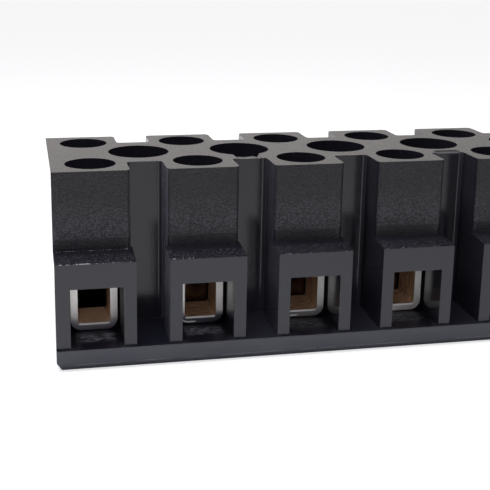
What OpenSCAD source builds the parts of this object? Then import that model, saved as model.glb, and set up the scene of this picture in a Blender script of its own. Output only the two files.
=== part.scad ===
// Barrier terminal strip with rising-clamp terminals.
// A one-piece moulded housing carries one copper current bar per pole. At each end of a bar a
// screw, turned from the top, draws a steel clamp yoke up and squeezes the wire under the bar.
// Millimetres. X runs along the strip, -Y is the front, Z is up from the mounting surface, and
// the origin is at the middle of the underside.

/* [Strip] */
// Number of poles along the strip
pole_count = 6; // [2:1:12]
// Distance between neighbouring poles
pole_pitch = 12; // [11.5:0.5:14]
// Distance from the centre of an end pole to the end face
end_margin = 4.4; // [4.3:0.05:5.5]

/* [Base flange] */
// Front-to-back size of the base flange
flange_depth = 27; // [26.6:0.1:30]
// Height of the flange top, which is also the floor of the wire entries
flange_height = 2.35; // [2:0.05:2.6]
// Height of the bevel round the bottom edge
bevel_height = 1; // [0.2:0.1:1.6]
// How far the bevel leans inwards
bevel_inset = 0.55; // [0.1:0.05:1.5]

/* [Towers] */
// Height of the strip
tower_top = 20.9; // [20.5:0.1:24]
// Distance from the centreline to the front face of a tower
tower_face = 9.6; // [9.5:0.1:10.5]
// Distance from the centreline to the web face between two towers
web_face = 5.5; // [4.6:0.1:6]
// Clear width between two neighbouring towers
tower_gap = 4; // [3:0.1:4.3]
// Radius where a tower side runs into the web
inner_corner_r = 0.5; // [0.2:0.1:1]
// Radius on the upright outer edges of a tower
outer_corner_r = 0.55; // [0.2:0.05:1]

/* [Wire entries] */
// Distance from the centreline to the face of the wire entry
entry_face = 13.1; // [12.5:0.1:13.2]
// Outer width of the wire entry block
entry_width = 8.4; // [8:0.1:8.6]
// Height of the ledge where it meets the tower
ledge_height = 12.15; // [11:0.05:14]
// How far the ledge falls towards its front edge
ledge_fall = 0.4; // [0.1:0.05:0.8]
// Width of the wire window and of the yoke chamber behind it
window_width = 5.7; // [5.5:0.1:6]
// Height of the top edge of the window above the mounting surface
window_top = 9; // [8.96:0.01:9.4]

/* [Holes] */
// Distance of each row of screws from the centreline
screw_row = 5.75; // [5.6:0.05:5.9]
// Diameter of the screwdriver access holes
access_d = 5.6; // [5.4:0.1:5.6]
// Diameter of the fixing holes, which take the head of a fixing screw
fixing_head_d = 7; // [6:0.1:7.2]
// Diameter of the fixing holes through the base
fixing_shank_d = 4.4; // [3:0.1:4.6]
// Height of the shoulder inside the fixing holes
fixing_shoulder = 4; // [3:0.5:8]

/* [Clamp yokes] */
// Outer width of a yoke
yoke_width = 5.2; // [5.2:0.05:5.3]
// Front-to-back size of a yoke
yoke_depth = 4.8; // [4:0.1:5]
// Thickness of the steel strip
yoke_strip = 0.8; // [0.6:0.05:0.8]
// Outer radius of the lower bends
yoke_bend_r = 1.2; // [0.9:0.1:1.6]
// Height of the underside of an open yoke above the mounting surface
yoke_rest = 2.45; // [2.4:0.01:2.6]
// Clear height inside a yoke, from its floor to its threaded top
yoke_window = 5.85; // [5.8:0.05:6]

/* [Clamp screws] */
// Diameter of the screw thread
thread_d = 3.5; // [2.5:0.1:3.5]
// Clearance between screw and yoke, on the radius
thread_clearance = 0.05; // [0.02:0.01:0.1]
// Diameter of the screw head
head_d = 5.2; // [4.6:0.1:5.3]
// Height of the screw head
head_height = 2; // [1.5:0.1:3]
// Width of the screwdriver slot
slot_width = 1; // [0.6:0.1:1.2]
// Depth of the screwdriver slot
slot_depth = 1.1; // [0.5:0.1:1.3]

/* [Current bars] */
// Width of the copper strip
bar_width = 3.3; // [2.5:0.1:3.3]
// Thickness of the copper strip
bar_thickness = 1.2; // [0.8:0.1:1.2]
// Height of the top face of the bar
bar_top = 8.95; // [8.9:0.01:8.95]
// Distance from the centreline to each end of the bar
bar_reach = 8; // [7:0.1:8.1]
// Distance from the centreline to the face of each wire stop
stop_face = 3.2; // [2.8:0.05:3.2]
// Inside radius of the bends
bar_bend_r = 0.3; // [0.1:0.05:0.4]

/* [Damage] */
// Depth of the piece broken out beside the second fixing hole
chip_depth = 0.42; // [0.1:0.02:0.8]
// Depth of the worn lip beside the fourth fixing hole
worn_lip_depth = 0.12; // [0.05:0.01:0.3]

/* [Hidden] */
$fn = 48;
eps = 0.02;
front = -1;
back = 1;
pole_span = (pole_count - 1) * pole_pitch;
strip_length = pole_span + 2 * end_margin;

entry_root = tower_face - outer_corner_r - 0.2;
front_wall = 1.1;
chamber_inner = 2.4;
chamber_outer = tower_face - front_wall;
chamber_top = 15.4;
slot_clearance = 0.05;

yoke_floor = yoke_rest + yoke_strip;
yoke_ceiling = yoke_floor + yoke_window;
flap_offset = 0.9;

tip_height = bar_top + 0.05;
head_seat = chamber_top + 0.1;
tip_length = 0.6;
tip_d = 2.4;
head_edge = 0.3;

bar_foot = flange_height + 0.05;
worn_lip_gap = 3;
chip_gap = 1;

function pole_x(i) = i * pole_pitch - pole_span / 2;
function gap_x(i) = pole_x(i) + pole_pitch / 2;

function names(prefix) = [for (i = [1:pole_count]) str(prefix, i)];

// ---------------------------------------------------------------- housing

// Runs a profile drawn in (Y, Z) along the strip, centred on x = 0.
module along_strip(length) {
    translate([-length / 2, 0, 0])
        rotate([90, 0, 90])
            linear_extrude(length) children();
}

// Base plate under the whole strip, with a bevel round its bottom edge.
module base_flange() {
    half = flange_depth / 2;
    difference() {
        along_strip(strip_length)
            polygon([
                [-half + bevel_inset, 0],
                [half - bevel_inset, 0],
                [half, bevel_height],
                [half, flange_height],
                [-half, flange_height],
                [-half, bevel_height],
            ]);
        end_bevel();
        mirror([1, 0, 0])
            end_bevel();
    }
}

// Wedge that bevels the bottom edge at one end of the flange.
module end_bevel() {
    end_x = strip_length / 2;
    slope = bevel_inset / bevel_height;
    rotate([90, 0, 0])
        linear_extrude(flange_depth + 2, center = true)
            polygon([
                [end_x - bevel_inset - slope, -1],
                [end_x + 1, -1],
                [end_x + 1, bevel_height],
                [end_x, bevel_height],
            ]);
}

// Plan of one notch between two towers: y = 0 is the web face and +y is outwards.
module notch_plan() {
    depth = tower_face - web_face;
    half = tower_gap / 2;
    translate([-half, inner_corner_r])
        square([tower_gap, depth]);
    translate([inner_corner_r - half, 0])
        square([tower_gap - 2 * inner_corner_r, depth]);
    for (side = [-1, 1]) {
        translate([side * (half - inner_corner_r), inner_corner_r])
            circle(inner_corner_r);
        difference() {
            translate([side * (half + outer_corner_r / 2), depth])
                square([outer_corner_r, 2 * outer_corner_r], center = true);
            translate([side * (half + outer_corner_r), depth - outer_corner_r])
                circle(outer_corner_r);
        }
    }
}

// Plan of the towers and the web that joins them.
module tower_plan() {
    difference() {
        square([strip_length, 2 * tower_face], center = true);
        for (i = [0:pole_count - 2])
            for (side = [front, back])
                translate([gap_x(i), side * web_face])
                    mirror([0, side == front ? 1 : 0])
                        notch_plan();
    }
}

// Block round one wire entry. The blocks at the two ends run out flush with the end faces.
module entry_block(i, side) {
    left = i == 0 ? end_margin : entry_width / 2;
    right = i == pole_count - 1 ? end_margin : entry_width / 2;
    translate([pole_x(i) + (right - left) / 2, 0, 0])
        mirror([0, side == back ? 1 : 0, 0])
            along_strip(left + right)
                polygon([
                    [-entry_face, flange_height - eps],
                    [-entry_face, ledge_height - ledge_fall],
                    [-tower_face, ledge_height],
                    [-entry_root, ledge_height],
                    [-entry_root, flange_height - eps],
                ]);
}

// Wire window, and the chamber in which the yoke rises.
module yoke_chamber(i, side) {
    translate([pole_x(i), side * (entry_face + 1 + chamber_inner) / 2, (window_top + flange_height) / 2])
        cube([window_width, entry_face + 1 - chamber_inner, window_top - flange_height], center = true);
    translate([pole_x(i), side * (chamber_outer + chamber_inner) / 2, (chamber_top + flange_height) / 2])
        cube([window_width, chamber_outer - chamber_inner, chamber_top - flange_height], center = true);
}

// Screwdriver hole from the top down into the chamber.
module access_hole(i, side) {
    translate([pole_x(i), side * screw_row, chamber_top - eps])
        cylinder(d = access_d, h = tower_top - chamber_top + 1);
}

// Passage through the middle of the housing for the current bar.
module bar_passage(i) {
    width = bar_width + 2 * slot_clearance;
    height = bar_top + slot_clearance - flange_height;
    translate([pole_x(i), 0, flange_height + height / 2])
        cube([width, 2 * chamber_inner + 2 * eps, height], center = true);
}

// Hole for a fixing screw, with a shoulder for its head.
module fixing_hole(i) {
    translate([gap_x(i), 0, fixing_shoulder])
        cylinder(d = fixing_head_d, h = tower_top);
    translate([gap_x(i), 0, -1])
        cylinder(d = fixing_shank_d, h = tower_top);
}

// Piece broken out of the rim between a fixing hole and the notch in front of it.
module broken_rim() {
    rim_inner = 1.2 - fixing_head_d / 2;
    rim_slope = 6;
    translate([gap_x(chip_gap), rim_inner, tower_top - chip_depth])
        rotate([90 - rim_slope, 0, 0])
            linear_extrude(web_face + rim_inner + 1)
                polygon([
                    [-1.7, chip_depth + 0.7],
                    [-1.35, 0.16],
                    [-1.1, 0.05],
                    [-0.2, 0],
                    [0.9, 0.07],
                    [1.35, -0.04],
                    [1.6, 0.22],
                    [2.2, chip_depth + 0.7],
                ]);
}

// Shallow worn lip between the fourth fixing hole and the notch in front of it.
module worn_lip() {
    lip_width = 3;
    lip_depth = 1.15;
    translate([gap_x(worn_lip_gap) - lip_width / 2 + 0.25, -web_face - eps, tower_top - worn_lip_depth])
        cube([lip_width, lip_depth, 1]);
}

module housing() {
    color("#2c2c30")
        difference() {
            union() {
                base_flange();
                translate([0, 0, flange_height - eps])
                    linear_extrude(tower_top - flange_height + eps)
                        tower_plan();
                for (i = [0:pole_count - 1])
                    for (side = [front, back])
                        entry_block(i, side);
            }
            for (i = [0:pole_count - 1]) {
                for (side = [front, back]) {
                    yoke_chamber(i, side);
                    access_hole(i, side);
                }
                bar_passage(i);
            }
            for (i = [0:pole_count - 2])
                fixing_hole(i);
            if (pole_count > chip_gap + 1)
                broken_rim();
            if (pole_count > worn_lip_gap + 1)
                worn_lip();
        }
}

// ---------------------------------------------------------------- current bars

// Quarter ring of the copper strip, from +x round to +y about its centre.
module strip_bend() {
    outer = bar_bend_r + bar_thickness;
    difference() {
        intersection() {
            circle(outer);
            square(outer);
        }
        circle(bar_bend_r);
    }
}

// Half of the bar's side view in (Y, Z): flat end, wire stop, foot.
module half_bar_profile() {
    outer = bar_bend_r + bar_thickness;
    upper_y = stop_face + bar_bend_r;
    upper_z = bar_top - outer;
    lower_y = stop_face - outer;
    lower_z = bar_foot + outer;
    translate([upper_y, bar_top - bar_thickness])
        square([bar_reach - upper_y, bar_thickness]);
    translate([upper_y, upper_z])
        mirror([1, 0])
            strip_bend();
    translate([stop_face - bar_thickness, lower_z])
        square([bar_thickness, upper_z - lower_z]);
    translate([lower_y, lower_z])
        mirror([0, 1])
            strip_bend();
    translate([0, bar_foot])
        square([lower_y, bar_thickness]);
}

// Copper strip through one pole, dropped in the middle to make a wire stop at each side.
module current_bar(i) {
    color("#b06a3c")
        translate([pole_x(i), 0, 0])
            along_strip(bar_width)
                for (side = [front, back])
                    mirror([side == front ? 1 : 0, 0])
                        half_bar_profile();
}

// ---------------------------------------------------------------- clamp yokes

// Front view of a yoke in (X, Z): a strip bent into a box, its ends overlapping at the top.
module yoke_profile() {
    half = yoke_width / 2;
    inner_r = yoke_bend_r - yoke_strip;
    lower_flap_top = yoke_ceiling + yoke_strip;
    upper_flap_top = lower_flap_top + yoke_strip;
    difference() {
        union() {
            translate([-half, yoke_rest + yoke_bend_r])
                square([yoke_width, lower_flap_top - yoke_rest - 2 * yoke_bend_r]);
            translate([yoke_bend_r - half, yoke_rest])
                square([yoke_width - 2 * yoke_bend_r, lower_flap_top - yoke_rest]);
            translate([yoke_bend_r - half, lower_flap_top - yoke_bend_r])
                circle(yoke_bend_r);
            for (side = [-1, 1])
                translate([side * (half - yoke_bend_r), yoke_rest + yoke_bend_r])
                    circle(yoke_bend_r);
            translate([flap_offset - half, lower_flap_top - eps])
                square([yoke_width - flap_offset - yoke_bend_r, yoke_strip + eps]);
            translate([half - yoke_bend_r, upper_flap_top - yoke_bend_r])
                circle(yoke_bend_r);
            translate([0, lower_flap_top - yoke_bend_r - eps])
                square([half, yoke_strip + eps]);
        }
        translate([inner_r - half + yoke_strip, yoke_floor])
            square([yoke_width - 2 * yoke_strip - 2 * inner_r, yoke_window]);
        translate([yoke_strip - half, yoke_floor + inner_r])
            square([yoke_width - 2 * yoke_strip, yoke_window - inner_r]);
        for (side = [-1, 1])
            translate([side * (half - yoke_bend_r), yoke_floor + inner_r])
                circle(inner_r);
    }
}

// Clamp yoke of one terminal, in its lowest, open position.
module clamp_yoke(i, side) {
    color("#d5d6d8")
        translate([pole_x(i), side * screw_row, 0])
            rotate([0, 0, side == back ? 180 : 0])
                difference() {
                    rotate([90, 0, 0])
                        linear_extrude(yoke_depth, center = true)
                            yoke_profile();
                    translate([0, 0, yoke_ceiling - 1])
                        cylinder(d = thread_d + 2 * thread_clearance, h = 2 * yoke_strip + 2);
                }
}

// ---------------------------------------------------------------- clamp screws

// Slotted screw standing on the current bar, its head in the access hole.
module clamp_screw(i, side) {
    head_top = head_seat + head_height;
    color("#c9cacc")
        translate([pole_x(i), side * screw_row, 0])
            difference() {
                rotate_extrude()
                    polygon([
                        [0, tip_height],
                        [tip_d / 2, tip_height],
                        [thread_d / 2, tip_height + tip_length],
                        [thread_d / 2, head_seat],
                        [head_d / 2, head_seat],
                        [head_d / 2, head_top - head_edge],
                        [head_d / 2 - head_edge, head_top],
                        [0, head_top],
                    ]);
                translate([0, 0, head_top])
                    rotate([0, 0, slot_angle(i, side)])
                        cube([head_d + 1, slot_width, 2 * slot_depth], center = true);
            }
}

// The slots stand at different angles, as the screws were left.
function slot_angle(i, side) = (i * 47 + (side == back ? 70 : 15)) % 180;

// ---------------------------------------------------------------- nodes

housing();
for (i = [0:pole_count - 1]) {
    current_bar(i);
    clamp_yoke(i, front);
    clamp_yoke(i, back);
    clamp_screw(i, front);
    clamp_screw(i, back);
}
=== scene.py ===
"""Looks of a black barrier terminal strip with rising-clamp terminals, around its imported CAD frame."""

import math
import random
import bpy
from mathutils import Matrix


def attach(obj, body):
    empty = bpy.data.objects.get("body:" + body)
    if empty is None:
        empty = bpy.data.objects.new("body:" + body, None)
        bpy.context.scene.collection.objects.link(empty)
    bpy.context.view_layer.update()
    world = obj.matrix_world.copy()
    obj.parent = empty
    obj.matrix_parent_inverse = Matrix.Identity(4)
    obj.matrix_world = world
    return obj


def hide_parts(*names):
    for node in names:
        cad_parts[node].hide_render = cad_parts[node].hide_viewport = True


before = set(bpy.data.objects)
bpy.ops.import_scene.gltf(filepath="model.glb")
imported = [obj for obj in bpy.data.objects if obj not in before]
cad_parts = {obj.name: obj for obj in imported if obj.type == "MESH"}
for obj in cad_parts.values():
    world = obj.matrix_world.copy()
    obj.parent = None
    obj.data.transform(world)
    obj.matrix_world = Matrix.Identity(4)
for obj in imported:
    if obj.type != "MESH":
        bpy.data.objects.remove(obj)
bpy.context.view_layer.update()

from types import SimpleNamespace

import bmesh
import bpy
from mathutils import Matrix, Vector

MM = 0.001

# ---------------------------------------------------------------- sizes, in mm, as in the CAD source

POLES = 6
PITCH = 12.0
FIRST_POLE = -30.0
SIDES = {"front": -1, "back": 1}

LEDGE_Z = 12.15
LEDGE_FALL = 0.4
TOWER_FACE = 9.6
TOWER_GAP_HALF = 2.0
WEB_FACE = 5.5
TOP_Z = 20.9
ENTRY_FACE = 13.1
ENTRY_GAP_HALF = 1.8
WINDOW_EDGE = 3.15  # from the middle of a gap between two poles
FLANGE_TOP = 2.35
END_FACE = 34.4
PARTING_Z = 0.6
WORN_LIP_X = 12.25

SCREW_ROW = 5.75
THREAD_D = 3.5
THREAD_PITCH = 0.6
THREAD_DEPTH = 0.34
CREST_WIDTH = 1.25  # with FLANK_SLOPE, the thread's profile over one turn
FLANK_SLOPE = 3.2
RUN_OUT = 0.4  # where the thread fades below the head
RUN_OUT_GAP = 0.5
THREAD_SIDES = 40
RINGS_A_PITCH = 9
SCREW_TIP = 9.0
TIP_D = 2.4
TIP_LENGTH = 0.6
HEAD_SEAT = 15.5
HEAD_TOP = 17.5
HEAD_D = 5.2
HEAD_ROUND = 0.25
SLOT_WIDTH = 1.0
SLOT_DEPTH = 1.1
SLOT_START = {"front": 15, "back": 70}  # degrees at the first pole
SLOT_STEP = 47  # degrees from one pole to the next

YOKE_FRONT = 8.15
YOKE_REST = 2.45
YOKE_FLOOR = 3.25
YOKE_CEILING = 9.1
YOKE_HALF = 2.6
YOKE_INNER_HALF = 1.8
YOKE_BEND = 1.2

STOP_FACE = 3.2

# Edge rounding and surface relief, in mm, and the angles that tell an edge, in degrees
HOUSING_EDGE = 0.13
BAR_EDGE = 0.12
YOKE_EDGE = 0.13
SLOT_EDGE = 0.05
GRAIN_DEPTH = 0.13
DRAWN_DEPTH = 0.02
TURNED_DEPTH = 0.012
WELD_REACH = 0.001
FLAT_ANGLE = 0.5
EDGE_ANGLE = 32
SLOT_EDGE_ANGLE = 60
SMOOTH_ANGLE = 35

# ---------------------------------------------------------------- view and light

CAMERA_PLACE = (-36.975, -110.698, 44.034)  # mm
CAMERA_TURN = (11.696, -13.351, 0.773)  # yaw, pitch and roll, in degrees
CAMERA_LENS = 71.5  # mm
CAMERA_SENSOR = 36  # mm
CAMERA_SHIFT = (0.0479, -0.1339)

TENT_COLOUR = (1.0, 0.975, 0.965, 1)
TENT_RAMPS = (  # direction, where the change starts and ends, level before (None keeps it) and after
    ("Y", -0.6, 0.3, 0.14, 0.76),
    ("X", 0.15, 0.75, None, 0.45),
    ("Z", 0.35, 0.8, None, 0.42),
)

LAMPS = (  # name, place, aim and size in metres, power in watts, whether gloss shows it
    ("top_light", (-0.04, 0.0, 0.15), (0, 0, 0), 0.10, 0.16, True),
    ("front_light", (-0.05, -0.20, 0.085), (0, 0, 0.006), 0.07, 0.07, False),
)

FLOOR_COLOUR = (0.83, 0.84, 0.88, 1)
FLOOR_HALF = 4.0  # metres
FLOOR_DROP = 0.00002
FLOOR_GLOW = 0.55
GLOW_START, GLOW_FULL = -0.012, -0.006  # Y from where gloss shows the white floor


def pole_x(pole):
    """X of a pole's middle, poles counted from 1."""
    return FIRST_POLE + (pole - 1) * PITCH


def slot_angle(pole, side):
    """The way a screw's slot stands, as in the CAD source."""
    return math.radians(((pole - 1) * SLOT_STEP + SLOT_START[side]) % 180)


# ---------------------------------------------------------------- materials

class Finish:
    """A node material, built from masks and noises in millimetres of the piece's own space."""

    def __init__(self, name, **sockets):
        self.material = bpy.data.materials.new(name)
        self.material.use_nodes = True
        self.nodes = self.material.node_tree.nodes
        self.links = self.material.node_tree.links
        self.shader = self.nodes["Principled BSDF"]
        for socket, value in sockets.items():
            self.shader.inputs[socket.replace("_", " ")].default_value = value
        self.coords = self.nodes.new("ShaderNodeTexCoord")
        scaled = self.nodes.new("ShaderNodeVectorMath")
        scaled.operation = "SCALE"
        scaled.inputs["Scale"].default_value = 1 / MM
        self.links.new(self.coords.outputs["Object"], scaled.inputs[0])
        self.place = scaled.outputs[0]
        self.x, self.y, self.z = self.parts(self.place)
        self.up = self.parts(self.coords.outputs["Normal"])[2]

    def parts(self, vector):
        node = self.nodes.new("ShaderNodeSeparateXYZ")
        self.links.new(vector, node.inputs[0])
        return node.outputs

    def put(self, value, socket):
        if isinstance(value, bpy.types.NodeSocket):
            self.links.new(value, socket)
        else:
            socket.default_value = value

    def math(self, operation, a, b=0.0):
        node = self.nodes.new("ShaderNodeMath")
        node.operation = operation
        self.put(a, node.inputs[0])
        self.put(b, node.inputs[1])
        return node.outputs[0]

    def magnitude(self, value):
        return self.math("ABSOLUTE", value)

    def hypot(self, a, b):
        return self.math("SQRT", self.math("ADD", self.math("MULTIPLY", a, a), self.math("MULTIPLY", b, b)))

    def rise(self, value, low, high):
        """0 below low, 1 above high, smooth between."""
        node = self.nodes.new("ShaderNodeMapRange")
        node.interpolation_type = "SMOOTHSTEP"
        self.put(value, node.inputs["Value"])
        node.inputs["From Min"].default_value = low
        node.inputs["From Max"].default_value = high
        return node.outputs["Result"]

    def invert(self, mask):
        return self.math("SUBTRACT", 1.0, mask)

    def fall(self, value, low, high):
        """1 below low, 0 above high, smooth between."""
        return self.invert(self.rise(value, low, high))

    def band(self, value, low, high, soft):
        """1 between low and high, 0 outside, with soft edges."""
        return self.both(self.rise(value, low - soft, low), self.fall(value, high, high + soft))

    def both(self, *masks):
        """The product of masks and numbers."""
        out = masks[0]
        for mask in masks[1:]:
            out = self.math("MULTIPLY", out, mask)
        return out

    def either(self, *masks):
        """The largest of masks and numbers."""
        out = masks[0]
        for mask in masks[1:]:
            out = self.math("MAXIMUM", out, mask)
        return out

    def noise(self, scale, detail=2.0, roughness=0.5, stretch=(1, 1, 1), seed=0.0):
        """Noise from 0 to 1 with scale features a millimetre, stretched along each axis."""
        mapping = self.nodes.new("ShaderNodeMapping")
        mapping.inputs["Scale"].default_value = [scale / s for s in stretch]
        mapping.inputs["Location"].default_value = (seed, seed * 1.7, seed * 0.6)
        self.links.new(self.place, mapping.inputs[0])
        node = self.nodes.new("ShaderNodeTexNoise")
        node.inputs["Scale"].default_value = 1.0
        node.inputs["Detail"].default_value = detail
        node.inputs["Roughness"].default_value = roughness
        self.links.new(mapping.outputs[0], node.inputs["Vector"])
        return node.outputs["Fac"]

    def blend(self, mask, a, b):
        """a where the mask is 0, b where it is 1; two numbers or two colours."""
        node = self.nodes.new("ShaderNodeMix")
        colour = isinstance(a, tuple) or getattr(a, "type", "") == "RGBA"
        node.data_type = "RGBA" if colour else "FLOAT"
        self.put(mask, node.inputs["Factor"])
        ends = [s for s in node.inputs if s.enabled and s.name in ("A", "B")]
        for value, socket in zip((a, b), ends):
            self.put((*value, 1) if isinstance(value, tuple) else value, socket)
        return [s for s in node.outputs if s.enabled][0]

    def near(self, point, radius, soft):
        """1 within radius of a point, 0 beyond radius + soft."""
        node = self.nodes.new("ShaderNodeVectorMath")
        node.operation = "DISTANCE"
        self.links.new(self.place, node.inputs[0])
        node.inputs[1].default_value = point
        return self.fall(node.outputs["Value"], radius, radius + soft)

    def across(self):
        """Distance in X from the middle of the nearest pole."""
        turn = self.math("DIVIDE", self.math("SUBTRACT", self.x, FIRST_POLE - PITCH / 2), PITCH)
        return self.math("MULTIPLY", self.math("SUBTRACT", self.math("FRACT", turn), 0.5), PITCH)

    def along_gap(self):
        """Distance in X from the middle of the nearest gap between two poles."""
        return self.math("SUBTRACT", PITCH / 2, self.magnitude(self.across()))

    def bump(self, height, distance, strength=1.0):
        node = self.nodes.new("ShaderNodeBump")
        node.inputs["Distance"].default_value = distance * MM
        self.put(strength, node.inputs["Strength"])
        self.put(height, node.inputs["Height"])
        return node.outputs["Normal"]

    def edges(self, radius):
        """How far a spot lies on an edge, from 0 on a flat face."""
        rounded = self.nodes.new("ShaderNodeBevel")
        rounded.samples = 6
        rounded.inputs["Radius"].default_value = radius * MM
        plain = self.nodes.new("ShaderNodeNewGeometry")
        dot = self.nodes.new("ShaderNodeVectorMath")
        dot.operation = "DOT_PRODUCT"
        self.links.new(rounded.outputs[0], dot.inputs[0])
        self.links.new(plain.outputs["Normal"], dot.inputs[1])
        return self.rise(self.math("SUBTRACT", 1.0, dot.outputs["Value"]), 0.02, 0.3)

    def set(self, **sockets):
        for socket, value in sockets.items():
            self.put((*value, 1) if isinstance(value, tuple) else value,
                     self.shader.inputs[socket.replace("_", " ")])
        return self.material


def housing_areas(f):
    """Masks of the moulding's areas, from where they lie and which way they face."""
    out = f.magnitude(f.y)
    along = f.magnitude(f.x)
    gap = f.along_gap()
    upright = f.fall(f.magnitude(f.up), 0.5, 0.9)
    level = f.rise(f.up, 0.7, 0.95)
    above = f.rise(f.z, LEDGE_Z - 0.2, LEDGE_Z + 0.1)
    below = f.invert(above)
    between_ends = f.fall(along, END_FACE - 0.6, END_FACE - 0.2)
    face = f.both(above, upright, f.rise(out, TOWER_FACE - 0.35, TOWER_FACE - 0.15))
    base = f.both(below, upright, f.rise(out, TOWER_FACE, TOWER_FACE + 0.5))
    floor = f.both(level, f.fall(f.z, FLANGE_TOP + 0.2, FLANGE_TOP + 0.4))
    return SimpleNamespace(
        level=level,
        face=face,
        base=base,
        # the foot of a tower face, where it meets the ledge, painted dark as painted shade
        root=f.both(face, f.fall(f.z, LEDGE_Z + 0.9, LEDGE_Z + 1.5)),
        # the lower middle of a tower face, painted lighter as a painted reflection
        lit_band=f.both(f.rise(f.z, LEDGE_Z + 0.9, LEDGE_Z + 1.5), f.fall(f.z, LEDGE_Z + 2.4, LEDGE_Z + 6.5)),
        # the sides of towers and entry frames
        side=f.both(upright, between_ends,
                    f.band(out, WEB_FACE + 0.3, ENTRY_FACE - 0.2, 0.1),
                    f.band(gap, ENTRY_GAP_HALF - 0.3, TOWER_GAP_HALF + 0.1, 0.1)),
        top=f.both(level, f.rise(f.z, TOP_Z - 0.6, TOP_Z - 0.3)),
        # the edge of the base flange
        foot=f.both(f.fall(f.z, FLANGE_TOP - 0.2, FLANGE_TOP), upright),
        ledge=f.both(level, f.band(f.z, LEDGE_Z - LEDGE_FALL - 0.1, LEDGE_Z + 0.1, 0.1)),
        ledge_front=f.rise(out, TOWER_FACE + 0.4, TOWER_FACE + 1.6),
        # the inside corner between a web and a tower
        corner=f.both(upright, f.band(gap, TOWER_GAP_HALF - 0.3, TOWER_GAP_HALF, 0.04),
                      f.band(out, WEB_FACE, WEB_FACE + 0.3, 0.04)),
        # the floor of a wire entry, and the strips of it under the window's edges
        pocket=f.both(floor, f.rise(gap, WINDOW_EDGE + 0.45, WINDOW_EDGE + 1.25),
                      f.band(out, TOWER_FACE, TOWER_FACE + 1.3, 0.8)),
        margin=f.both(floor, f.band(gap, WINDOW_EDGE - 0.15, WINDOW_EDGE + 0.55, 0.3), f.rise(out, 8.4, 8.8)),
        end=f.both(upright, f.rise(along, END_FACE - 0.1, END_FACE - 0.04)),
        # 0 at the left end of the strip, 1 from its middle on
        far=f.rise(f.x, -24.0, -3.0),
        # the line where the mould's halves met
        parting=f.both(base, f.band(f.z, PARTING_Z, PARTING_Z + 0.06, 0.03),
                       f.rise(out, ENTRY_FACE, ENTRY_FACE + 0.2)),
        # the worn lip beside the fourth fixing hole
        lip=f.both(f.band(f.x, WORN_LIP_X - 1.5, WORN_LIP_X + 1.5, 0.1),
                   f.band(f.y, -WEB_FACE - 0.1, -4.3, 0.05), f.rise(f.z, TOP_Z - 0.3, TOP_Z - 0.2)),
        # the right wall of the first chamber, scuffed
        wall=f.both(upright, f.band(f.x, FIRST_POLE + 2.8, FIRST_POLE + 2.95, 0.05),
                    f.band(out, 8.2, ENTRY_FACE - 0.3, 0.1), below),
        # the bottom of the channels, from the second one on
        deep=f.both(f.fall(f.z, 4.0, 11.0), f.fall(gap, 2.2, 2.4), f.rise(f.x, -20.0, -12.0)))


def housing_colour(f, area, noise):
    """Brownish black on top, bluish on the base, with mottle and pale edges, and painted light: painted sheen
    on the sides, a painted reflection patch on the entry floors, painted shade at the foot of each tower
    face, a painted lighter band low on the tower faces and a painted highlight along the parting line.
    """
    colour = f.blend(noise.cloud, (0.0095, 0.0090, 0.0140), (0.0140, 0.0135, 0.0200))
    flat = f.blend(noise.cloud, (0.0060, 0.0060, 0.0140), (0.0100, 0.0100, 0.0200))
    colour = f.blend(area.level, colour, flat)
    colour = f.blend(area.deep, colour, (0.020, 0.020, 0.030))

    specks = f.both(f.rise(noise.specks, 0.53, 0.67), area.ledge_front)
    colour = f.blend(area.ledge, colour, f.blend(specks, (0.010, 0.010, 0.016), (0.075, 0.075, 0.085)))
    # Painted reflection: a pale bluish patch on the entry floors, mottled and weaker towards the right end.
    floor_glint = f.both(area.pocket, f.rise(noise.scuffs, 0.40, 0.70), f.invert(f.both(area.far, 0.6)))
    colour = f.blend(floor_glint, colour, (0.500, 0.500, 0.620))

    colour = f.blend(area.base, colour, (0.022, 0.023, 0.031))
    # Painted sheen: the sides of towers and entry frames are painted lighter, with vertical streaks, at the
    # left end and dark from the middle on.
    side_sheen = f.blend(noise.drawn, (0.085, 0.085, 0.115), (0.150, 0.150, 0.190))
    colour = f.blend(area.side, colour, f.blend(area.far, side_sheen, (0.014, 0.014, 0.021)))
    colour = f.blend(area.foot, colour, (0.048, 0.051, 0.067))
    # A pale broken line along the parting line on the flange's front and back faces: a painted highlight of
    # the thin ridge there.
    torn = f.both(area.parting, f.rise(noise.cloud, 0.38, 0.52))
    colour = f.blend(torn, colour, (0.14, 0.14, 0.16))

    # The grain's dark and light spots on the tower faces are both painted lighter in the lower middle: a
    # painted reflection of the floor.
    dark = f.blend(area.lit_band, (0.0003, 0.0003, 0.002), (0.003, 0.003, 0.007))
    light = f.blend(area.lit_band, f.blend(noise.tint, (0.015, 0.010, 0.020), (0.011, 0.014, 0.014)),
                    f.blend(noise.tint, (0.050, 0.043, 0.059), (0.044, 0.049, 0.053)))
    colour = f.blend(area.face, colour, f.blend(f.rise(noise.grain, 0.42, 0.60), dark, light))
    # Painted shade along the foot of each tower face.
    colour = f.blend(area.root, colour, (0.003, 0.003, 0.008))
    colour = f.blend(area.top, colour, f.blend(noise.cloud, (0.020, 0.015, 0.015), (0.032, 0.025, 0.025)))
    colour = f.blend(area.lip, colour, (0.045, 0.040, 0.048))

    pale = f.both(f.edges(0.14), f.rise(noise.chips, 0.45, 0.65), 0.07)
    return f.blend(pale, colour, (0.30, 0.30, 0.31))


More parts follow.
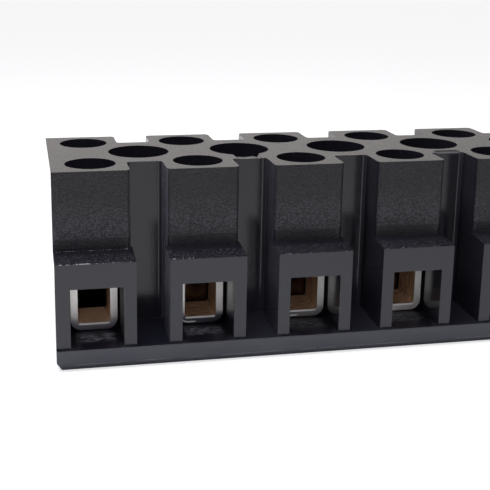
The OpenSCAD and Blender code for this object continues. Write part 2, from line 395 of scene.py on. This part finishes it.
def housing_roughness(f, area, noise):
    rough = f.blend(area.level, f.blend(noise.cloud, 0.12, 0.17), f.blend(noise.cloud, 0.26, 0.34))
    for mask, value in (
            (area.face, f.blend(noise.cloud, 0.31, 0.37)),
            (area.root, 0.18),
            (area.side, f.blend(noise.drawn, 0.12, 0.24)),
            (area.ledge, 0.20),
            (area.pocket, 0.45),
            (area.margin, 0.75),
            (area.top, f.blend(noise.cloud, 0.24, 0.30)),
            (area.corner, 0.85),
            (area.lip, 0.5),
            (area.wall, 0.55),
            (area.end, 0.0)):
        rough = f.blend(mask, rough, value)
    return rough


def moulded_black():
    """Black moulding: spark-eroded grain on the towers, smooth entry frames, webs and base."""
    f = Finish("moulded_black", IOR=1.6)
    area = housing_areas(f)
    noise = SimpleNamespace(
        cloud=f.noise(0.35, detail=3),
        grain=f.noise(5.6, detail=2.5, roughness=0.6, stretch=(1.5, 1, 1)),
        fine=f.noise(9.0, detail=1.5, seed=4.0),
        specks=f.noise(8.0, detail=1.5, roughness=0.6, stretch=(1.6, 1, 1), seed=6.0),
        tint=f.noise(1.6, detail=2, seed=20.0),
        drawn=f.noise(7.0, detail=3, stretch=(1, 1, 40), seed=8.0),
        scuffs=f.noise(2.6, detail=4, roughness=0.7, stretch=(2, 1, 1), seed=12.0),
        chips=f.noise(1.3, detail=3, seed=9.0))
    textured = f.either(area.face, f.both(f.either(area.level, area.side), 0.35), 0.08)
    normal = f.bump(f.blend(0.3, noise.grain, noise.fine), GRAIN_DEPTH,
                    strength=f.both(textured, f.invert(area.end)))
    return f.set(Base_Color=housing_colour(f, area, noise),
                 Roughness=housing_roughness(f, area, noise), Normal=normal)


def copper():
    """Rolled copper bar, browned by age; its wire stops carry painted shade, darkest in the middle and black
    at the first pole, and the first pole's stop a painted glint.
    """
    f = Finish("copper")
    streaks = f.noise(6.0, detail=3, roughness=0.6, stretch=(9, 1, 1))
    patches = f.noise(0.9, detail=3, seed=2.0)
    stop = f.fall(f.magnitude(f.y), STOP_FACE + 0.4, STOP_FACE + 1.0)
    off_x = f.both(f.math("SUBTRACT", f.across(), 0.35), 1.2)
    off_z = f.math("SUBTRACT", f.z, 5.9)
    stop_shade_middle = f.both(stop, f.fall(f.hypot(off_x, off_z), 0.3, 2.1))
    black = f.both(stop, f.fall(f.x, FIRST_POLE + 2, FIRST_POLE + 4))
    stop_glint = f.near((FIRST_POLE + 0.95, -STOP_FACE, 7.6), 0.16, 0.12)

    colour = f.blend(streaks, (0.16, 0.075, 0.035), (0.36, 0.19, 0.10))
    colour = f.blend(f.both(f.rise(patches, 0.42, 0.7), 0.55), colour, (0.09, 0.045, 0.025))
    # Painted shade on the wire stops: dark all over, darkest in the middle, black at the first pole.
    colour = f.blend(f.both(stop, 0.75), colour, (0.022, 0.010, 0.004))
    colour = f.blend(stop_shade_middle, colour, (0.003, 0.002, 0.002))
    colour = f.blend(black, colour, (0.001, 0.001, 0.002))
    # A painted glint high on the first pole's wire stop.
    colour = f.blend(stop_glint, colour, (0.75, 0.76, 0.80))
    rough = f.blend(streaks, 0.26, 0.40)
    normal = f.bump(streaks, DRAWN_DEPTH, strength=0.5)
    metal = f.blend(f.either(black, stop_shade_middle), 0.75, 1.0)
    return f.set(Base_Color=colour, Roughness=rough, Normal=normal, Metallic=metal)


def yoke_areas(f):
    """Masks of a clamp yoke's inside, its sheared edge, the painted highlights on that edge and its painted
    dark lower strip.
    """
    out = f.magnitude(f.y)
    half = f.magnitude(f.across())
    inside = f.both(f.fall(half, YOKE_INNER_HALF + 0.02, YOKE_INNER_HALF + 0.08),
                    f.band(f.z, YOKE_FLOOR - 0.03, YOKE_CEILING + 0.03, 0.04),
                    f.fall(out, YOKE_FRONT - 0.16, YOKE_FRONT - 0.06))
    sheared = f.both(f.rise(out, YOKE_FRONT - 0.1, YOKE_FRONT - 0.03), f.fall(f.magnitude(f.up), 0.2, 0.5))
    first = f.fall(f.x, FIRST_POLE + 3, FIRST_POLE + 6)
    low = f.both(sheared, f.fall(f.z, YOKE_FLOOR - 0.1, YOKE_FLOOR + 0.8), f.fall(f.x, -14.0, 4.0))

    bend_x = f.math("ADD", f.across(), YOKE_HALF - YOKE_BEND)
    bend_z = f.math("SUBTRACT", f.z, YOKE_REST + YOKE_BEND)
    round_bend = f.both(f.band(f.hypot(bend_x, bend_z), YOKE_BEND - 0.28, YOKE_BEND - 0.15, 0.04),
                        f.fall(bend_x, -0.1, 0.0), f.fall(bend_z, -0.5, -0.3))
    under = f.both(f.band(f.z, YOKE_REST + 0.15, YOKE_REST + 0.27, 0.04), f.band(bend_x, 0.0, 0.6, 0.5))
    inner_edge = f.both(f.rise(out, YOKE_FRONT - 0.16, YOKE_FRONT - 0.1),
                        f.fall(half, YOKE_INNER_HALF - 0.2, YOKE_INNER_HALF),
                        f.band(f.z, YOKE_FLOOR - 0.18, YOKE_FLOOR + 0.02, 0.03))
    edge_highlight = f.either(inner_edge, f.both(sheared, f.either(round_bend, under), f.invert(first)))
    return SimpleNamespace(inside=inside, sheared=sheared, first=first, low=low, edge_highlight=edge_highlight)


def yoke_steel():
    """Nickel-plated steel strip, bright on its sheared edges, copper-brown on the inside."""
    f = Finish("yoke_steel")
    area = yoke_areas(f)
    drawn = f.noise(5.0, detail=3, roughness=0.65, stretch=(8, 1, 8))
    smear = f.noise(1.2, detail=3, seed=3.0)

    plate = f.blend(smear, (0.80, 0.77, 0.74), (0.98, 0.95, 0.91))
    # The lower part of the sheared edge, left of the middle, is painted dark grey as a painted reflection of
    # the dark floor in front; at the first pole it is painted lighter, as painted light.
    plate = f.blend(area.low, plate, f.blend(area.first, (0.20, 0.19, 0.23), (0.46, 0.44, 0.50)))
    # Painted highlights, near white and mostly diffuse, along the inner rim of the sheared edge, its lower
    # bend and underside; no painted highlight on the bends at the first pole.
    plate = f.blend(area.edge_highlight, plate, (1.0, 0.97, 0.98))
    # Copper-brown inside with streaks; at the first pole the inside is painted lighter, as painted light.
    worn = f.math("ADD", drawn, f.both(area.first, 0.25))
    inside_brown = f.blend(f.rise(worn, 0.3, 0.7), (0.30, 0.15, 0.07), (0.98, 0.66, 0.44))
    colour = f.blend(area.inside, plate, inside_brown)

    rough = f.blend(area.inside, f.blend(smear, 0.10, 0.20), f.blend(drawn, 0.30, 0.45))
    rough = f.blend(area.sheared, rough, f.blend(drawn, 0.34, 0.50))
    dulled = f.both(area.sheared, f.invert(f.either(area.first, area.low)))
    metal = f.both(f.blend(area.inside, 1.0, 0.25), f.blend(area.edge_highlight, 1.0, 0.2), f.blend(dulled, 1.0, 0.68))
    normal = f.bump(f.blend(0.5, drawn, smear), DRAWN_DEPTH, strength=0.5)
    return f.set(Base_Color=colour, Roughness=rough, Normal=normal, Metallic=metal)


def screw_steel():
    """Zinc-plated steel, turned rings on the head, duller in the thread."""
    f = Finish("screw_steel", Metallic=1.0)
    rings = f.both(f.math("ADD", f.math("SINE", f.both(f.hypot(f.x, f.y), 60.0)), 1.0), 0.5)
    smear = f.noise(1.6, detail=4, seed=5.0)
    scuff = f.noise(3.0, detail=3, stretch=(1, 5, 1), seed=1.0)
    thread = f.fall(f.z, HEAD_SEAT - 0.2, HEAD_SEAT)
    colour = f.blend(smear, (0.50, 0.50, 0.50), (0.74, 0.73, 0.71))
    colour = f.blend(f.both(f.rise(scuff, 0.6, 0.75), 0.5), colour, (0.30, 0.28, 0.25))
    colour = f.blend(f.both(thread, 0.4), colour, (0.34, 0.33, 0.32))
    rough = f.blend(smear, 0.24, 0.42)
    normal = f.bump(f.blend(0.5, rings, scuff), TURNED_DEPTH, strength=0.6)
    return f.set(Base_Color=colour, Roughness=rough, Normal=normal)


# ---------------------------------------------------------------- CAD nodes with softened edges

def soften(node, width, segments=2):
    """Rounds a CAD solid's sharp edges with modifiers, and leaves its mesh alone."""
    weld = node.modifiers.new("weld", "WELD")
    weld.merge_threshold = WELD_REACH * MM
    flat = node.modifiers.new("flat", "DECIMATE")
    flat.decimate_type = "DISSOLVE"
    flat.angle_limit = math.radians(FLAT_ANGLE)
    bevel = node.modifiers.new("bevel", "BEVEL")
    bevel.width = width * MM
    bevel.segments = segments
    bevel.limit_method = "ANGLE"
    bevel.angle_limit = math.radians(EDGE_ANGLE)
    shade = node.modifiers.new("shade", "WEIGHTED_NORMAL")
    shade.mode = "FACE_AREA"
    shade.weight = 100


def dress(name, material, width):
    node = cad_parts[name]
    node.material_slots[0].material = material
    soften(node, width)


# ---------------------------------------------------------------- clamp screws

def thread_radius(turn, height):
    """Radius of the thread at an angle, in turns, and a height above the tip."""
    phase = (height / THREAD_PITCH - turn) % 1.0
    crest = max(0.0, min(1.0, CREST_WIDTH - abs(phase - 0.5) * FLANK_SLOPE))
    run_out = min(1.0, max(0.0, (HEAD_SEAT - SCREW_TIP - RUN_OUT_GAP - height) / RUN_OUT))
    radius = THREAD_D / 2 - THREAD_DEPTH * (1.0 - crest * run_out)
    cone = TIP_D / 2 + (THREAD_D - TIP_D) / 2 * height / TIP_LENGTH
    return min(radius, cone)


def screw_mesh(material):
    """One slotted cheese-head screw with a real thread, on the Z axis at its rest height."""
    step = THREAD_PITCH / RINGS_A_PITCH
    count = int((HEAD_SEAT - SCREW_TIP) / step)
    rings = [(SCREW_TIP + k * step, lambda turn, k=k: thread_radius(turn, k * step))
             for k in range(count + 1)]
    edge, half = HEAD_ROUND, HEAD_D / 2
    head = [  # height and radius
        (HEAD_SEAT, THREAD_D / 2 - THREAD_DEPTH + 0.05),
        (HEAD_SEAT, half - 0.1),
        (HEAD_SEAT + 0.1, half),
        (HEAD_TOP - edge, half),
        (HEAD_TOP - edge * 0.3, half - edge * 0.3),
        (HEAD_TOP - 0.02, half - edge),
        (HEAD_TOP, half * 0.55)]
    rings += [(z, lambda turn, r=r: r) for z, r in head]
    bm = bmesh.new()
    loops = []
    for z, radius in rings:
        loop = []
        for k in range(THREAD_SIDES):
            turn = k / THREAD_SIDES
            r = radius(turn) * MM
            angle = math.tau * turn
            loop.append(bm.verts.new((r * math.cos(angle), r * math.sin(angle), z * MM)))
        loops.append(loop)
    for low, high in zip(loops, loops[1:]):
        for k in range(THREAD_SIDES):
            n = (k + 1) % THREAD_SIDES
            bm.faces.new((low[k], low[n], high[n], high[k]))
    bm.faces.new(loops[0][::-1])
    bm.faces.new(loops[-1])
    mesh = bpy.data.meshes.new("clamp_screw")
    bm.to_mesh(mesh)
    bm.free()

    slot = bmesh.new()
    slot_size = Vector((HEAD_D + 1, SLOT_WIDTH, 2 * SLOT_DEPTH)) * MM
    bmesh.ops.create_cube(slot, size=1.0, matrix=Matrix.LocRotScale(
        Vector((0, 0, HEAD_TOP * MM)), None, slot_size))
    cutter_mesh = bpy.data.meshes.new("slot_cutter")
    slot.to_mesh(cutter_mesh)
    slot.free()
    blank = bpy.data.objects.new("screw_blank", mesh)
    cutter = bpy.data.objects.new("slot_cutter", cutter_mesh)
    for obj in (blank, cutter):
        bpy.context.scene.collection.objects.link(obj)
    cut = blank.modifiers.new("slot", "BOOLEAN")
    cut.operation, cut.solver, cut.object = "DIFFERENCE", "EXACT", cutter
    bevel = blank.modifiers.new("bevel", "BEVEL")
    bevel.width, bevel.segments, bevel.limit_method = SLOT_EDGE * MM, 1, "ANGLE"
    bevel.angle_limit = math.radians(SLOT_EDGE_ANGLE)
    done = bpy.data.meshes.new_from_object(blank.evaluated_get(bpy.context.evaluated_depsgraph_get()))
    for obj in (blank, cutter):
        bpy.data.objects.remove(obj)
    done.name = "clamp_screw"
    done.materials.clear()
    done.materials.append(material)
    for polygon in done.polygons:
        polygon.use_smooth = True
    done.set_sharp_from_angle(angle=math.radians(SMOOTH_ANGLE))
    return done


def add_screws(material):
    mesh = screw_mesh(material)
    for side, sign in SIDES.items():
        for pole in range(1, POLES + 1):
            node = f"screw_{side}_{pole}"
            screw = bpy.data.objects.new(f"clamp_{node}", mesh)
            screw.matrix_world = (Matrix.Translation((pole_x(pole) * MM, sign * SCREW_ROW * MM, 0))
                                  @ Matrix.Rotation(slot_angle(pole, side), 4, "Z"))
            bpy.context.scene.collection.objects.link(screw)
            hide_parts(node)
            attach(screw, node)


# ---------------------------------------------------------------- moulding flash

FLASH_LINES = (  # start and end in mm, crumbs a millimetre, largest crumb in mm
    ((-34.1, -13.02, 11.76), (-30.6, -13.02, 11.76), 9.0, 0.16),
    ((-30.6, -13.02, 11.76), (-26.2, -13.02, 11.76), 4.0, 0.08),
    ((-34.1, -9.70, 12.16), (-26.2, -9.70, 12.16), 9.0, 0.045),
    ((-22.0, -12.85, 11.78), (-19.6, -12.85, 11.78), 3.0, 0.12),
    ((-22.18, -13.02, 3.0), (-22.18, -13.02, 11.0), 1.2, 0.08),
    ((-10.0, -13.02, 11.76), (-2.2, -13.02, 11.76), 1.2, 0.08),
    ((2.0, -12.9, 11.78), (10.0, -12.9, 11.78), 1.0, 0.08),
    ((-34.0, -9.5, 20.82), (-27.0, -9.5, 20.82), 1.2, 0.07),
    ((-22.2, -13.0, 2.37), (-21.9, -13.0, 2.37), 8.0, 0.14),
    ((-27.3, -13.0, 2.37), (-26.9, -13.0, 2.37), 8.0, 0.13),
)


def add_flash():
    """Crumbs of torn flash left along the edges where the mould's halves met."""
    f = Finish("torn_flash", Roughness=0.6)
    crumb = f.noise(4.0, detail=2, seed=14.0)
    f.set(Base_Color=f.blend(crumb, (0.42, 0.42, 0.45), (0.85, 0.85, 0.87)))
    dice = random.Random(7)
    bm = bmesh.new()
    for start, end, density, largest in FLASH_LINES:
        start, end = Vector(start), Vector(end)
        for _ in range(round((end - start).length * density)):
            size = largest * dice.uniform(0.35, 1.0) * MM
            angle = dice.uniform(0, math.tau)
            turn = Matrix.Rotation(angle, 4, Vector([dice.uniform(-1, 1) for _ in range(3)]))
            stretch = Matrix.Diagonal((dice.uniform(0.8, 2.2), 0.7, 0.7, 1.0))
            centre = start.lerp(end, dice.random()) * MM
            bmesh.ops.create_icosphere(bm, subdivisions=1, radius=size / 2,
                                       matrix=Matrix.Translation(centre) @ stretch @ turn)
    mesh = bpy.data.meshes.new("flash")
    bm.to_mesh(mesh)
    bm.free()
    mesh.materials.append(f.material)
    flash = bpy.data.objects.new("flash", mesh)
    bpy.context.scene.collection.objects.link(flash)
    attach(flash, "housing")


# ---------------------------------------------------------------- camera, light and floor

def add_camera():
    """The photograph's view: level with the first poles, a little above, turned to the right."""
    yaw, pitch, roll = (math.radians(a) for a in CAMERA_TURN)
    forward = Vector((math.sin(yaw) * math.cos(pitch), math.cos(yaw) * math.cos(pitch), math.sin(pitch)))
    right = Vector((math.cos(yaw), -math.sin(yaw), 0))
    up = right.cross(forward)
    across = math.cos(roll) * right + math.sin(roll) * up
    upward = math.cos(roll) * up - math.sin(roll) * right
    data = bpy.data.cameras.new("camera")
    data.sensor_width = CAMERA_SENSOR
    data.lens = CAMERA_LENS
    data.shift_x, data.shift_y = CAMERA_SHIFT
    data.clip_start = 0.005
    camera = bpy.data.objects.new("camera", data)
    camera.matrix_world = Matrix.Translation(Vector(CAMERA_PLACE) * MM) @ Matrix(
        (across, upward, -forward)).transposed().to_4x4()
    bpy.context.scene.collection.objects.link(camera)
    bpy.context.scene.camera = camera


def add_world():
    """A white light tent, open and darker on the camera's side, plain white where the camera sees it."""
    world = bpy.data.worlds.new("tent")
    world.use_nodes = True
    nodes, links = world.node_tree.nodes, world.node_tree.links
    coords = nodes.new("ShaderNodeTexCoord")
    parts = nodes.new("ShaderNodeSeparateXYZ")
    links.new(coords.outputs["Generated"], parts.inputs[0])
    previous = None
    for axis, low, high, before, after in TENT_RAMPS:
        ramp = nodes.new("ShaderNodeMapRange")
        ramp.interpolation_type = "SMOOTHSTEP"
        links.new(parts.outputs[axis], ramp.inputs["Value"])
        ramp.inputs["From Min"].default_value = low
        ramp.inputs["From Max"].default_value = high
        level = nodes.new("ShaderNodeMix")
        links.new(ramp.outputs["Result"], level.inputs["Factor"])
        if previous is None:
            level.inputs["A"].default_value = before
        else:
            links.new(previous, level.inputs["A"])
        level.inputs["B"].default_value = after
        previous = level.outputs["Result"]
    tent = nodes["Background"]
    tent.inputs["Color"].default_value = TENT_COLOUR
    links.new(previous, tent.inputs["Strength"])
    plain = nodes.new("ShaderNodeBackground")
    plain.inputs["Color"].default_value = (1, 1, 1, 1)
    path = nodes.new("ShaderNodeLightPath")
    mix = nodes.new("ShaderNodeMixShader")
    links.new(path.outputs["Is Camera Ray"], mix.inputs[0])
    links.new(tent.outputs[0], mix.inputs[1])
    links.new(plain.outputs[0], mix.inputs[2])
    links.new(mix.outputs[0], nodes["World Output"].inputs[0])
    bpy.context.scene.world = world


def add_lamp(name, place, aim, size, power, in_gloss):
    data = bpy.data.lights.new(name, "AREA")
    data.shape = "DISK"
    data.size = size
    data.energy = power
    lamp = bpy.data.objects.new(name, data)
    lamp.visible_glossy = in_gloss
    turn = (Vector(aim) - Vector(place)).to_track_quat("-Z", "Y").to_matrix().to_4x4()
    lamp.matrix_world = Matrix.Translation(place) @ turn
    bpy.context.scene.collection.objects.link(lamp)


def floor_material():
    """Pale and matt. The camera, and gloss from behind the front edge, see it lifted to white."""
    material = bpy.data.materials.new("pale_sheet")
    material.use_nodes = True
    nodes, links = material.node_tree.nodes, material.node_tree.links
    shader = nodes["Principled BSDF"]
    shader.inputs["Base Color"].default_value = FLOOR_COLOUR
    shader.inputs["Roughness"].default_value = 0.9
    glow = nodes.new("ShaderNodeEmission")
    glow.inputs["Strength"].default_value = FLOOR_GLOW
    lifted = nodes.new("ShaderNodeAddShader")
    links.new(shader.outputs[0], lifted.inputs[0])
    links.new(glow.outputs[0], lifted.inputs[1])

    coords = nodes.new("ShaderNodeTexCoord")
    parts = nodes.new("ShaderNodeSeparateXYZ")
    behind = nodes.new("ShaderNodeMapRange")
    behind.inputs["From Min"].default_value = GLOW_START
    behind.inputs["From Max"].default_value = GLOW_FULL
    links.new(coords.outputs["Object"], parts.inputs[0])
    links.new(parts.outputs["Y"], behind.inputs["Value"])

    path = nodes.new("ShaderNodeLightPath")
    mirrored = nodes.new("ShaderNodeMath")
    mirrored.operation = "MULTIPLY"
    links.new(behind.outputs["Result"], mirrored.inputs[0])
    links.new(path.outputs["Is Glossy Ray"], mirrored.inputs[1])
    seen = nodes.new("ShaderNodeMath")
    seen.operation = "MAXIMUM"
    links.new(path.outputs["Is Camera Ray"], seen.inputs[0])
    links.new(mirrored.outputs[0], seen.inputs[1])

    mix = nodes.new("ShaderNodeMixShader")
    links.new(seen.outputs[0], mix.inputs[0])
    links.new(shader.outputs[0], mix.inputs[1])
    links.new(lifted.outputs[0], mix.inputs[2])
    links.new(mix.outputs[0], nodes["Material Output"].inputs[0])
    return material


def add_floor():
    """A plain pale sheet that keeps the part's shadow."""
    bm = bmesh.new()
    bmesh.ops.create_grid(bm, x_segments=1, y_segments=1, size=FLOOR_HALF)
    mesh = bpy.data.meshes.new("floor")
    bm.to_mesh(mesh)
    bm.free()
    floor = bpy.data.objects.new("floor", mesh)
    floor.location.z = -FLOOR_DROP
    bpy.context.scene.collection.objects.link(floor)
    mesh.materials.append(floor_material())


# ---------------------------------------------------------------- the scene

dress("housing", moulded_black(), HOUSING_EDGE)
bar_finish, yoke_finish = copper(), yoke_steel()
for pole in range(1, POLES + 1):
    dress(f"current_bar_{pole}", bar_finish, BAR_EDGE)
    for side in SIDES:
        dress(f"yoke_{side}_{pole}", yoke_finish, YOKE_EDGE)
add_screws(screw_steel())
add_flash()

add_camera()
add_world()
for lamp in LAMPS:
    add_lamp(*lamp)
add_floor()
bpy.context.scene.view_settings.view_transform = "Standard"
